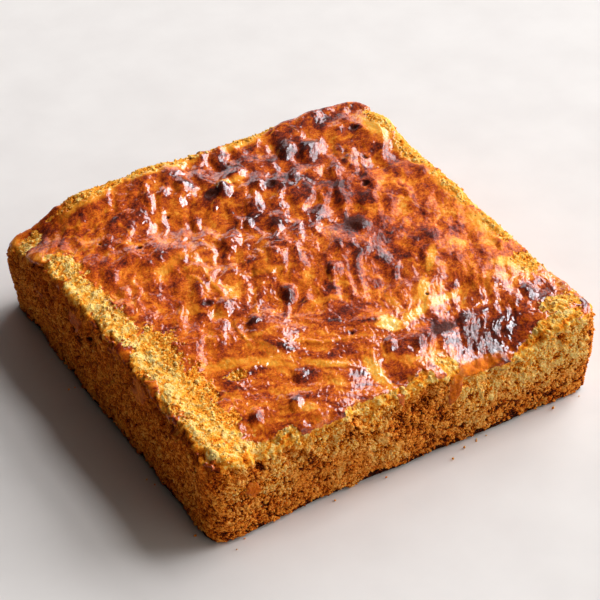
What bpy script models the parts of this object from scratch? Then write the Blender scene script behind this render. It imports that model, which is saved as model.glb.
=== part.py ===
"""Square butter gateau, baked in a small square tin and turned out whole.

Metres, +Z up.  The origin is under the middle of the cake, on the surface it
stands on.  The near side of the model is -Y; the near left corner is (-X, -Y).
One closed solid: flat base, nearly upright sides that ripple a little, a worn
rounded rim and an uneven risen top that has sunk at the far left corner.
"""
import math

import bmesh
import bpy
import numpy as np

# ---------------------------------------------------------------- dimensions
SIDE = 0.127             # the tin's side: the square plan, across the walls
CORNER_RADIUS = 0.0060   # the tin's upright corners, seen from above
RIM_RADIUS = 0.0032      # the worn rounding between top and sides
BASE_ROUND = 0.0012      # the small rounding where the sides meet the base
BASE_INSET = 0.0007      # how far the foot of each side leans in
BULGE = 0.0005           # how far the middle of each side swells out
WALL_RIPPLE = 0.0006     # unevenness of the sides, in and out
TOP_RIPPLE = 0.0008      # unevenness of the top, up and down

# the height of the rim at the four corners, before the local swells
H_NEAR_LEFT = 0.0300
H_NEAR_RIGHT = 0.0290
H_FAR_RIGHT = 0.0335
H_FAR_LEFT = 0.0320

# local swells and hollows of the top: centre x, y, reach, rise (metres)
SWELLS = (
    (-0.0620, 0.0600, 0.0150, -0.0075),   # the sunken far left corner
    (-0.0150, 0.0600, 0.0110, 0.0018),    # hump on the far left rim
    (0.0540, 0.0480, 0.0140, 0.0012),     # hump near the far right corner
    (0.0620, -0.0340, 0.0120, -0.0012),   # dip in the right hand rim
    (0.0290, -0.0640, 0.0140, -0.0050),   # slump of the near right rim
    (-0.0470, -0.0600, 0.0110, -0.0026),  # broken near rim
    (-0.0600, -0.0120, 0.0120, 0.0008),   # crumbly hump on the left rim
    (-0.0380, -0.0420, 0.0160, -0.0010),  # shallow hollow, near left
    (0.0120, 0.0020, 0.0220, 0.0010),     # low rise in the middle
    (-0.0180, 0.0260, 0.0140, -0.0008),   # hollow left of the middle
    (0.0390, -0.0250, 0.0110, 0.0012),    # blistered rise, near right
    (0.0180, 0.0380, 0.0120, 0.0010),     # blistered rise, far side
)

# how finely the solid is divided
TOP_CELLS = 44           # cells across the top, each way
RIM_STEPS = 3            # rows round the worn rim
WALL_STEPS = 6           # rows down each side

HALF = SIDE / 2


# ---------------------------------------------------------------- form
def ripple(a, b, c, seed):
    """Smooth unevenness from -1 to 1, a sum of a few slanting waves."""
    rng = np.random.default_rng(seed)
    total, weight = 0.0, 0.0
    for length, size in ((0.034, 1.0), (0.021, 0.8), (0.013, 0.55)):
        for _ in range(3):
            way = rng.normal(size=3)
            way /= np.linalg.norm(way)
            turn = rng.uniform(0, 2 * math.pi)
            phase = (a * way[0] + b * way[1] + c * way[2]) * 2 * math.pi / length
            total = total + size * math.sin(phase + turn)
            weight += size * size / 2
    return total / (2.2 * math.sqrt(weight))


def rounded_square(x, y, radius):
    """A point of the square from -1 to 1, drawn in to round its corners."""
    reach = max(abs(x), abs(y))
    if reach < 1e-9:
        return 0.0, 0.0
    px, py = x / reach, y / reach
    r = radius * reach
    cx = max(-(1 - r), min(1 - r, px))
    cy = max(-(1 - r), min(1 - r, py))
    dx, dy = px - cx, py - cy
    length = math.hypot(dx, dy)
    if length > 1e-9:
        px, py = cx + dx / length * r, cy + dy / length * r
    return px * reach, py * reach


def top_height(x, y):
    """Height of the top over a point of the plan."""
    u = x / SIDE + 0.5
    v = y / SIDE + 0.5
    z = (H_NEAR_LEFT * (1 - u) * (1 - v) + H_NEAR_RIGHT * u * (1 - v)
         + H_FAR_LEFT * (1 - u) * v + H_FAR_RIGHT * u * v)
    for sx, sy, reach, rise in SWELLS:
        z += rise * math.exp(-((x - sx) ** 2 + (y - sy) ** 2) / reach ** 2)
    return z + TOP_RIPPLE * ripple(x, y, 0.0, 5)


def wall_offset(x, y, z, s):
    """How far the side stands out from the tin's wall, s from 0 at the rim to
    1 at the base."""
    barrel = BULGE * math.sin(math.pi * min(1.0, s * 1.1)) - BASE_INSET * s
    return barrel + WALL_RIPPLE * ripple(x, y, z, 9)


# ---------------------------------------------------------------- the solid
def build_cake():
    bm = bmesh.new()

    # the top, as a grid whose rows bend round the corners
    grid_half = HALF - RIM_RADIUS
    bmesh.ops.create_grid(bm, x_segments=TOP_CELLS, y_segments=TOP_CELLS, size=1.0)
    for v in bm.verts:
        x, y = rounded_square(v.co.x, v.co.y,
                              (CORNER_RADIUS - RIM_RADIUS) / grid_half)
        v.co = (x * grid_half, y * grid_half, 0.0)

    # rows: round the rim, then down the side, each drawn from the row above
    rim = [e for e in bm.edges if e.is_boundary]
    start = {}
    for e in rim:
        for v in e.verts:
            start[v] = v.co.copy()
    rows = []
    ring = rim
    home = dict(start)
    steps = [("rim", (i + 1) / RIM_STEPS) for i in range(RIM_STEPS)]
    steps += [("wall", (i + 1) / WALL_STEPS) for i in range(WALL_STEPS)]
    steps += [("foot", 1.0)]
    for kind, s in steps:
        new = bmesh.ops.extrude_edge_only(bm, edges=ring)["geom"]
        fresh = [g for g in new if isinstance(g, bmesh.types.BMVert)]
        ring = [g for g in new if isinstance(g, bmesh.types.BMEdge)
                and g.verts[0] in set(fresh) and g.verts[1] in set(fresh)]
        next_home = {}
        for v in fresh:
            # the fresh vertex still lies on the one it was drawn from
            for e in v.link_edges:
                o = e.other_vert(v)
                if o in home:
                    next_home[v] = home[o]
                    break
        rows.append((kind, s, [(v, next_home[v]) for v in fresh]))
        home = next_home
        bm.verts.index_update()

    # outward direction at each rim point, from the rounded square itself
    inner = grid_half - (CORNER_RADIUS - RIM_RADIUS)

    def outward(p):
        cx = max(-inner, min(inner, p.x))
        cy = max(-inner, min(inner, p.y))
        dx, dy = p.x - cx, p.y - cy
        length = math.hypot(dx, dy)
        return dx / length, dy / length

    for kind, s, pairs in rows:
        for v, p in pairs:
            nx, ny = outward(p)
            edge_z = top_height(p.x, p.y)
            if kind == "rim":
                a = s * math.pi / 2
                out = RIM_RADIUS * math.sin(a)
                z = edge_z - RIM_RADIUS * (1 - math.cos(a))
                out += wall_offset(p.x, p.y, z, 0.0) * s
            elif kind == "wall":
                z = (edge_z - RIM_RADIUS) * (1 - s) + BASE_ROUND * s
                out = RIM_RADIUS + wall_offset(p.x, p.y, z, s)
            else:
                z = 0.0
                out = RIM_RADIUS + wall_offset(p.x, p.y, z, 1.0) - BASE_ROUND
            v.co = (p.x + nx * out, p.y + ny * out, z)

    ringed = {v for _, _, pairs in rows for v, _ in pairs}
    for v in bm.verts:
        if v not in ringed:
            v.co.z = top_height(v.co.x, v.co.y)

    # the flat base closes the lowest row
    bmesh.ops.holes_fill(bm, edges=ring, sides=0)
    bmesh.ops.recalc_face_normals(bm, faces=bm.faces)

    # the middle of the footprint goes to the origin
    xs = [v.co.x for v in bm.verts]
    ys = [v.co.y for v in bm.verts]
    mid_x, mid_y = (min(xs) + max(xs)) / 2, (min(ys) + max(ys)) / 2
    for v in bm.verts:
        v.co.x -= mid_x
        v.co.y -= mid_y

    mesh = bpy.data.meshes.new("cake")
    bm.to_mesh(mesh)
    bm.free()
    mesh.shade_smooth()
    mesh.set_sharp_from_angle(angle=math.radians(50))
    return mesh


def baked_material():
    mat = bpy.data.materials.new("golden_crust")
    mat.use_nodes = True
    shader = mat.node_tree.nodes["Principled BSDF"]
    shader.inputs["Base Color"].default_value = (0.46, 0.16, 0.030, 1.0)
    shader.inputs["Roughness"].default_value = 0.55
    shader.inputs["Metallic"].default_value = 0.0
    mat.diffuse_color = (0.46, 0.16, 0.030, 1.0)
    return mat


def main():
    for ob in list(bpy.data.objects):
        bpy.data.objects.remove(ob, do_unlink=True)
    mesh = build_cake()
    mesh.materials.append(baked_material())
    cake = bpy.data.objects.new("cake", mesh)
    bpy.context.scene.collection.objects.link(cake)


main()
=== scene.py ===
import math

import bpy
import numpy as np
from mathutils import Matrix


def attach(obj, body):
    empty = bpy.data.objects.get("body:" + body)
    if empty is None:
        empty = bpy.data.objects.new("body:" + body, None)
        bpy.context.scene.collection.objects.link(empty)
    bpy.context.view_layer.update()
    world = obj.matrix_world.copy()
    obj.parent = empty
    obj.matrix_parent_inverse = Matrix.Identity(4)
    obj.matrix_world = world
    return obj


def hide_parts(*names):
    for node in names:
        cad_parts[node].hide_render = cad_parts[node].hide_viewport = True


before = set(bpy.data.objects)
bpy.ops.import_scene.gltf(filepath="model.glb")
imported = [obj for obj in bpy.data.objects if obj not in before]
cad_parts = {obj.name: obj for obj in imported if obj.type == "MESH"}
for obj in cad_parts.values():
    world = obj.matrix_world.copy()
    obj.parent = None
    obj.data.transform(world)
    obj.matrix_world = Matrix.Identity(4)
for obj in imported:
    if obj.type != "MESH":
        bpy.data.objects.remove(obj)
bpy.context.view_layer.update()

# ------------------------------------------------------------------ sizes
# The same square slab as the solid it stands for, in metres.
SIDE = 0.127
HALF = SIDE / 2
CORNER_RADIUS = 0.0060
RIM_RADIUS = 0.0032
BASE_ROUND = 0.0012
BASE_INSET = 0.0007
BULGE = 0.0005
WALL_RIPPLE = 0.0006
TOP_RIPPLE = 0.0008
H_NEAR_LEFT = 0.0300
H_NEAR_RIGHT = 0.0290
H_FAR_RIGHT = 0.0335
H_FAR_LEFT = 0.0320
SWELLS = (
    (-0.0620, 0.0600, 0.0150, -0.0075),
    (-0.0150, 0.0600, 0.0110, 0.0018),
    (0.0540, 0.0480, 0.0140, 0.0012),
    (0.0620, -0.0340, 0.0120, -0.0012),
    (0.0290, -0.0640, 0.0140, -0.0050),
    (-0.0470, -0.0600, 0.0110, -0.0026),
    (-0.0600, -0.0120, 0.0120, 0.0008),
    (-0.0380, -0.0420, 0.0160, -0.0010),
    (0.0120, 0.0020, 0.0220, 0.0010),
    (-0.0180, 0.0260, 0.0140, -0.0008),
    (0.0390, -0.0250, 0.0110, 0.0012),
    (0.0180, 0.0380, 0.0120, 0.0010),
)

N = 400                 # cells along each side of the top
RIM_ROWS = 11           # rows round the rim that belong to the top pieces
WALL_ROWS = 92          # rows down the sides
FOOT_ROWS = 3           # rows round the foot
BASE_ROWS = 3           # rows in under the base
MM = 1000.0


# ------------------------------------------------------------------ noise
def mix_bits(ix, iy, iz, seed):
    h = (ix.astype(np.uint32) * np.uint32(374761393)
         ^ iy.astype(np.uint32) * np.uint32(668265263)
         ^ iz.astype(np.uint32) * np.uint32(2246822519)
         ^ np.uint32((seed * 3266489917 + 12345) & 0xffffffff))
    h = (h ^ (h >> np.uint32(15))) * np.uint32(2246822507)
    h = (h ^ (h >> np.uint32(13))) * np.uint32(3266489909)
    return h ^ (h >> np.uint32(16))


_g = np.random.default_rng(77).normal(size=(1024, 3))
GRADS = (_g / np.linalg.norm(_g, axis=1, keepdims=True)).astype(np.float32)


def perlin(p, size, seed=0):
    """Smooth gradient noise, about -1 to 1; p in mm, size in mm."""
    q = (p / size + 37.13 * (seed % 17)).astype(np.float32)
    i = np.floor(q).astype(np.int64)
    f = q - i
    w = f * f * f * (f * (f * 6 - 15) + 10)
    out = 0.0
    for dx in (0, 1):
        wx = w[:, 0] if dx else 1 - w[:, 0]
        for dy in (0, 1):
            wy = w[:, 1] if dy else 1 - w[:, 1]
            for dz in (0, 1):
                wz = w[:, 2] if dz else 1 - w[:, 2]
                g = GRADS[mix_bits(i[:, 0] + dx, i[:, 1] + dy, i[:, 2] + dz, seed) & np.uint32(1023)]
                dot = (g[:, 0] * (f[:, 0] - dx) + g[:, 1] * (f[:, 1] - dy)
                       + g[:, 2] * (f[:, 2] - dz))
                out = out + wx * wy * wz * dot
    return out * 1.7


def fbm(p, size, octaves, seed=0, gain=0.5):
    total, amp, norm = 0.0, 1.0, 0.0
    for k in range(octaves):
        total = total + amp * perlin(p, size / 2 ** k, seed + 31 * k)
        norm += amp
        amp *= gain
    return total / norm


def ridged(p, size, seed=0):
    return 1.0 - np.minimum(1.0, np.abs(perlin(p, size, seed)) * 2.0)


def worley(p, size, seed=0):
    """Distance to the nearest and second nearest seed point, in cells, and a
    random number from 0 to 1 for the nearest."""
    q = p / size
    i = np.floor(q).astype(np.int64)
    f = (q - i).astype(np.float32)
    best = np.full(len(p), 9.0, np.float32)
    second = best.copy()
    tag = np.zeros(len(p), np.float32)
    for dx in (-1, 0, 1):
        for dy in (-1, 0, 1):
            for dz in (-1, 0, 1):
                h = mix_bits(i[:, 0] + dx, i[:, 1] + dy, i[:, 2] + dz, seed)
                ax = dx + (h & np.uint32(1023)).astype(np.float32) / 1023 - f[:, 0]
                ay = dy + ((h >> np.uint32(10)) & np.uint32(1023)).astype(np.float32) / 1023 - f[:, 1]
                az = dz + ((h >> np.uint32(20)) & np.uint32(1023)).astype(np.float32) / 1023 - f[:, 2]
                d = ax * ax + ay * ay + az * az
                near = d < best
                second = np.where(near, best, np.minimum(second, d))
                tag = np.where(near, ((h >> np.uint32(7)) & np.uint32(4095)).astype(np.float32) / 4095, tag)
                best = np.where(near, d, best)
    return np.sqrt(best), np.sqrt(second), tag


def smooth(a, b, x):
    t = np.clip((x - a) / (b - a), 0.0, 1.0)
    return t * t * (3 - 2 * t)


# ------------------------------------------------------------------ the slab's own form
def ripple(a, b, c, seed):
    rng = np.random.default_rng(seed)
    total, weight = 0.0, 0.0
    for length, size in ((0.034, 1.0), (0.021, 0.8), (0.013, 0.55)):
        for _ in range(3):
            way = rng.normal(size=3)
            way /= np.linalg.norm(way)
            turn = rng.uniform(0, 2 * math.pi)
            phase = (a * way[0] + b * way[1] + c * way[2]) * 2 * math.pi / length
            total = total + size * np.sin(phase + turn)
            weight += size * size / 2
    return total / (2.2 * math.sqrt(weight))


def rounded_square(x, y, radius):
    reach = np.maximum(np.abs(x), np.abs(y))
    safe = np.maximum(reach, 1e-9)
    px, py = x / safe, y / safe
    r = radius * reach
    cx = np.clip(px, -(1 - r), 1 - r)
    cy = np.clip(py, -(1 - r), 1 - r)
    dx, dy = px - cx, py - cy
    length = np.hypot(dx, dy)
    ok = length > 1e-9
    k = np.where(ok, r / np.maximum(length, 1e-9), 0.0)
    px = np.where(ok, cx + dx * k, px)
    py = np.where(ok, cy + dy * k, py)
    return px * reach, py * reach


def top_height(x, y):
    u = x / SIDE + 0.5
    v = y / SIDE + 0.5
    z = (H_NEAR_LEFT * (1 - u) * (1 - v) + H_NEAR_RIGHT * u * (1 - v)
         + H_FAR_LEFT * (1 - u) * v + H_FAR_RIGHT * u * v)
    for sx, sy, reach, rise in SWELLS:
        z = z + rise * np.exp(-((x - sx) ** 2 + (y - sy) ** 2) / reach ** 2)
    return z + TOP_RIPPLE * ripple(x, y, 0.0, 5)


def wall_offset(x, y, z, s):
    barrel = BULGE * np.sin(math.pi * np.minimum(1.0, s * 1.1)) - BASE_INSET * s
    return barrel + WALL_RIPPLE * ripple(x, y, z, 9)


# ------------------------------------------------------------------ what lies where
# Places on the top, in mm from the middle: x, y, half length, half width,
# turn in degrees, strength.  Read off, one line for each thing seen.
DARKS = (
    (24.8, 6.2, 5.5, 4.0, 70, 1.0),      # the large burnt blister
    (47.6, 55.2, 6.5, 2.2, 20, 0.85),
    (51.1, 46.9, 2.4, 2.0, 0, 0.9),
    (-5.0, 39.6, 2.8, 2.2, 30, 1.15),
    (13.1, 33.9, 2.2, 1.5, 10, 1.15),
    (-35.2, 27.9, 1.1, 0.9, 0, 1.1),
    (38.2, 20.2, 1.6, 1.0, 0, 1.0),
    (-55.5, 53.5, 5.5, 3.0, 40, 0.6),
    (-32.8, 43.3, 3.0, 2.2, 0, 0.5),
    (51.6, 34.5, 2.0, 1.5, 0, 0.7),
    (33.0, 20.8, 7.5, 6.0, 20, 0.5),
    (10.0, 12.0, 5.0, 3.5, 0, 0.45),
    (-2.5, -28.6, 5.5, 4.0, 50, 0.55),   # smooth brown skin
    (-31.4, -5.5, 2.0, 1.6, 0, 0.85),
    (-24.6, -19.4, 2.0, 1.5, 0, 0.7),
    (-24.4, -44.8, 4.5, 2.4, 0, 0.5),
    (19.6, -47.3, 6.5, 3.2, 10, 1.0),
    (30.0, -46.3, 6.0, 2.2, 0, 0.85),
    (52.9, -45.3, 6.0, 3.4, 10, 0.8),
    (29.5, -53.5, 12.0, 7.0, 0, 0.88),   # the glossy slumped shoulder
    (43.0, -55.0, 6.5, 4.0, 10, 0.60),
    (51.0, -49.0, 7.0, 3.4, 8, 0.65),
    (9.0, -49.5, 7.0, 4.0, 0, 0.40),
    (60.8, -60.0, 2.5, 5.0, 0, 0.75),
    (24.0, -9.0, 12.0, 8.0, 30, 0.38),
    (38.0, -10.0, 7.0, 5.5, 0, 0.38),
    (26.0, 42.0, 16.0, 10.0, 20, 0.35),
    (0.0, 48.0, 12.0, 6.0, 0, 0.35),
    (6.0, 18.0, 8.0, 5.0, 0, 0.3),
)
GOLDS = (
    (8.0, -38.8, 3.6, 3.4, 0, 1.3),      # the brightest yellow
    (16.8, -38.4, 6.5, 2.0, 10, 1.0),
    (24.5, -31.0, 6.0, 1.9, 55, 0.9),
    (33.5, -21.5, 7.0, 1.7, 50, 0.8),
    (14.0, -32.0, 1.6, 5.0, 0, 0.6),
    (28.0, -36.5, 7.0, 1.6, 10, 0.8),
    (-39.2, -30.0, 5.0, 2.2, -20, 0.7),
    (-28.0, -36.5, 8.0, 1.7, -38, 0.65),
    (-16.2, -44.0, 8.0, 1.7, -40, 0.72),
    (-6.0, -53.0, 2.2, 7.0, 0, 0.9),
    (3.5, 42.2, 5.5, 1.6, 0, 1.0),       # a thin golden fold
    (57.5, 43.0, 3.6, 9.0, 0, 0.9),
    (60.0, 28.0, 3.2, 11.0, 0, 0.9),
    (59.5, 6.0, 2.8, 12.0, 0, 0.7),
    (58.0, -14.0, 4.5, 7.0, 0, 0.7),
    (54.5, -33.0, 6.5, 2.6, -20, 0.9),
    (-12.0, 60.5, 15.0, 3.4, 0, 0.9),
    (-36.0, 57.5, 12.0, 3.0, 8, 0.7),
    (18.0, 60.0, 9.0, 2.4, 0, 0.8),
    (37.0, 47.5, 1.8, 2.6, 0, 0.7),
    (-22.9, -5.5, 3.0, 1.8, 10, 0.6),
    (-10.0, -1.0, 10.0, 1.5, -20, 0.5),
    (0.0, -21.0, 9.0, 1.4, -15, 0.5),
    (-46.0, 12.0, 5.0, 6.0, 0, 0.3),
    (-30.0, 16.0, 9.0, 2.0, 30, 0.5),
)
BARE = (
    (-60.0, 54.0, 6.5, 3.6, 30, 1.0),
    (-58.0, 31.0, 4.6, 7.5, 0, 1.15),
    (-58.5, 15.0, 4.4, 9.0, 0, 1.1),
    (-57.6, -1.0, 4.8, 9.0, 0, 1.15),
    (-51.8, -12.0, 5.6, 4.4, 0, 1.15),
    (-55.0, -20.0, 6.6, 8.0, 0, 1.15),
    (-54.0, -36.0, 7.2, 10.0, 0, 1.15),
    (-55.5, -51.0, 8.0, 10.0, 0, 1.2),
    (-52.5, -60.0, 7.0, 5.4, 0, 1.2),
    (-41.0, -62.5, 5.5, 3.6, 0, 1.1),
    (-15.0, -63.4, 8.0, 1.9, 0, 0.8),
    (-5.0, -63.0, 5.0, 1.6, 0, 0.6),
    (3.0, -62.0, 4.0, 2.4, 0, 0.7),
    (12.5, -60.0, 3.6, 3.4, 0, 0.85),
    (39.0, -63.0, 6.5, 2.3, 10, 0.85),
    (48.0, -61.0, 9.0, 2.8, 8, 0.95),
    (55.0, -55.0, 6.0, 3.4, 0, 0.85),
    (-39.0, -35.0, 3.4, 2.2, 0, 0.7),
    # the golden far rims are half bare
    (61.0, 46.0, 3.4, 8.0, 0, 0.72),
    (61.0, 28.0, 3.2, 12.0, 0, 0.72),
    (61.0, 6.0, 2.8, 12.0, 0, 0.70),
    (60.5, -16.0, 3.2, 9.0, 0, 0.72),
    (59.0, -34.0, 4.2, 5.0, 0, 0.75),
    (-12.0, 61.5, 15.0, 2.6, 0, 0.72),
    (-36.0, 60.0, 13.0, 2.8, 4, 0.75),
    (19.0, 61.5, 10.0, 2.2, 0, 0.70),
)
# Where the skin laps over the near rim.
LAPS = (
    (-29.5, -63.5, 7.0, 3.4, 0, 1.0),
    (-44.5, -57.0, 4.6, 2.8, 0, 0.8),
    (23.0, -62.8, 8.0, 2.4, 0, 1.0),
)
# Blisters of the skin, long one way: x, y, half length, half width, height (mm).
BLISTERS = (
    (33.3, 44.5, 7.2, 3.3, 1.40), (27.0, 47.8, 6.2, 3.1, 1.25), (4.0, 28.4, 7.0, 3.2, 1.35),
    (0.0, 39.4, 5.6, 3.0, 1.25), (-9.6, 48.0, 5.2, 2.8, 1.05), (-17.2, 46.8, 3.6, 1.9, 0.55),
    (-31.2, 44.6, 3.0, 1.8, 0.50), (26.0, 24.0, 7.6, 3.0, 1.30), (26.2, 4.6, 4.6, 3.6, 1.00),
    (47.5, 11.2, 4.5, 2.0, 0.60), (-10.6, 16.6, 6.4, 3.0, 1.25), (7.4, -11.4, 4.4, 2.9, 1.10),
    (-9.0, -12.8, 4.4, 2.8, 1.05), (-28.0, -9.0, 4.4, 2.9, 1.05), (-23.8, -18.8, 3.8, 2.6, 0.95),
    (-48.4, 11.8, 3.0, 2.2, 0.50), (-45.4, -25.8, 3.6, 2.2, 0.60), (56.2, -24.4, 3.6, 2.2, 0.60),
    (-43.0, -52.0, 4.0, 2.4, 0.75), (-31.3, -54.0, 3.8, 2.2, 0.75), (50.5, -45.8, 4.5, 2.4, 0.80),
    (13.8, 8.8, 4.0, 1.9, 0.55), (10.8, 35.8, 4.0, 1.9, 0.55), (9.6, -50.5, 4.6, 2.2, 0.70),
    (2.8, -46.4, 4.6, 2.2, 0.70), (17.0, 14.5, 4.0, 1.8, 0.50), (-2.0, 21.0, 3.6, 1.7, 0.50),
    (34.5, 31.5, 4.6, 2.0, 0.60), (41.0, 40.0, 4.0, 1.8, 0.50), (-24.6, -43.8, 3.4, 2.6, 0.60),
    (-38.5, -20.5, 3.6, 1.9, 0.55), (22.0, 35.0, 4.4, 1.9, 0.55), (-14.5, 30.5, 4.4, 1.9, 0.55),
)
# Thin folds of the skin: points along each, then half width and height (mm).
FOLDS = (
    (((-23.8, 13.2), (-24.9, 6.6), (-25.4, -0.1), (-25.7, -6.3), (-26.3, -10.1)), 0.8, 0.45),
    (((-28.7, -16.0), (-29.5, -20.6), (-29.8, -25.0), (-30.6, -29.0)), 0.7, 0.40),
    (((1.7, 43.9), (4.6, 42.8), (5.6, 39.1), (5.3, 35.0)), 1.1, 0.30),
    (((-30.5, 9.5), (-28.4, 6.1), (-28.1, 1.5), (-28.2, -3.2)), 0.7, 0.35),
    (((-22.2, -31.5), (-17.3, -32.3), (-13.1, -35.8), (-6.5, -38.2), (0.9, -40.5)), 0.7, 0.40),
    (((-22.9, -41.4), (-17.3, -42.7), (-12.0, -46.8), (-7.3, -52.9)), 0.8, 0.40),
    (((-40.3, -34.0), (-35.6, -33.9), (-30.8, -34.8), (-24.6, -36.5)), 0.7, 0.35),
    (((-2.0, -45.0), (-4.5, -49.0), (-5.5, -54.0), (-6.0, -59.5)), 1.1, 0.35),
)
# Burst bubbles, small and deep: x, y, radius, depth (mm).
BURSTS = (
    (-5.0, 39.6, 1.3, 0.45), (13.1, 33.9, 1.1, 0.55), (38.2, 20.2, 0.9, 0.6), (-35.2, 27.9, 0.8, 0.5),
    (51.1, 46.9, 1.2, 0.5), (-31.4, -5.5, 1.0, 0.5), (24.3, -33.2, 0.6, 0.4), (-3.5, -37.0, 0.5, 0.4),
    (46.5, 33.0, 0.9, 0.5), (8.0, 52.0, 0.8, 0.5), (-20.0, 38.0, 0.7, 0.4), (-44.0, 36.0, 0.6, 0.4),
)
BLISTER_TURN = math.radians(58.5)   # the way most blisters run long
FLOW_TURN = math.radians(-31.5)     # the way the skin runs at the near left


def spots(x, y, table, soft=0.35, wobble=0.0):
    """How strongly each place lies under the table's patches."""
    out = np.zeros_like(x)
    for px, py, a, b, turn, strength in table:
        t = math.radians(turn)
        dx, dy = x - px, y - py
        u = (dx * math.cos(t) + dy * math.sin(t)) / a
        v = (-dx * math.sin(t) + dy * math.cos(t)) / b
        r = np.sqrt(u * u + v * v) + wobble
        out = np.maximum(out, strength * (1 - smooth(1 - soft, 1 + soft, r)))
    return out


def folds(x, y, table):
    """Height of the thin folds, and how near each place is to one."""
    rise, near = np.zeros_like(x), np.zeros_like(x)
    for points, half_width, height in table:
        d2 = np.full_like(x, 1e9)
        total = len(points) - 1
        along = np.zeros_like(x)
        for k in range(total):
            (ax, ay), (bx, by) = points[k], points[k + 1]
            ex, ey = bx - ax, by - ay
            t = np.clip(((x - ax) * ex + (y - ay) * ey) / (ex * ex + ey * ey), 0, 1)
            d = (x - ax - t * ex) ** 2 + (y - ay - t * ey) ** 2
            along = np.where(d < d2, (k + t) / total, along)
            d2 = np.minimum(d2, d)
        taper = np.sin(math.pi * np.clip(along, 0.03, 0.97)) ** 0.6
        rise = np.maximum(rise, height * taper * np.exp(-d2 / half_width ** 2))
        near = np.maximum(near, taper * np.exp(-d2 / (1.15 * half_width) ** 2))
    return rise, near


def stretched(q, turn, ratio):
    """Places squeezed along one way of the plan: noise over them runs long
    that way."""
    c, s = math.cos(turn), math.sin(turn)
    u = (q[:, 0] * c + q[:, 1] * s) / ratio
    v = -q[:, 0] * s + q[:, 1] * c
    return np.stack([u, v, q[:, 2]], 1)


def unit(f, where):
    """f with mean 0 and spread 1 over the places named."""
    return (f - f[where].mean()) / max(float(f[where].std()), 1e-9)


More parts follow.
